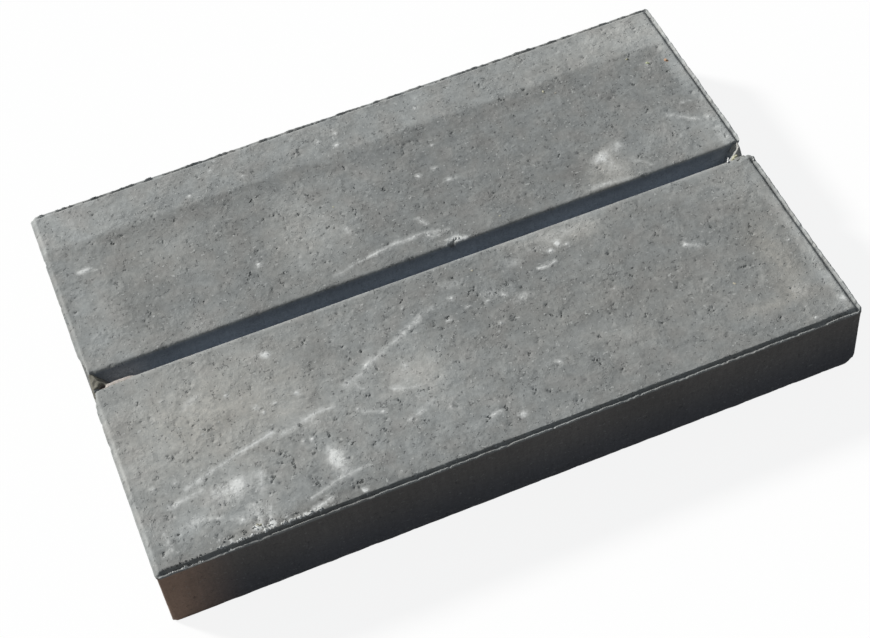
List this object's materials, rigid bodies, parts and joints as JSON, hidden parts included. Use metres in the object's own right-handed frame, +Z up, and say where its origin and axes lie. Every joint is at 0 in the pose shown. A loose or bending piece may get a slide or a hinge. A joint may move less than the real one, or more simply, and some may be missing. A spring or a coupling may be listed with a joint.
{
  "type": "wall coping stone",
  "caption": "Flat pressed-concrete wall coping slab with bevelled top edges, a rough moulding fin and a lengthwise splitting groove open at its ends.",
  "frame": {"origin": "centre of the bed face, which the stone rests on", "axes": "+X along the stone's length and its groove, +Y across the wall, +Z up to the bevelled top face"},
  "size_m": [0.6, 0.4, 0.07],
  "materials": {
    "concrete": "dry-pressed anthracite concrete, finely pored, with pale bloom, faint scratches and a rough moulding fin round the top edges"
  },
  "bodies": {
    "root": {"coping_stone": "concrete"}
  },
  "joints": []
}
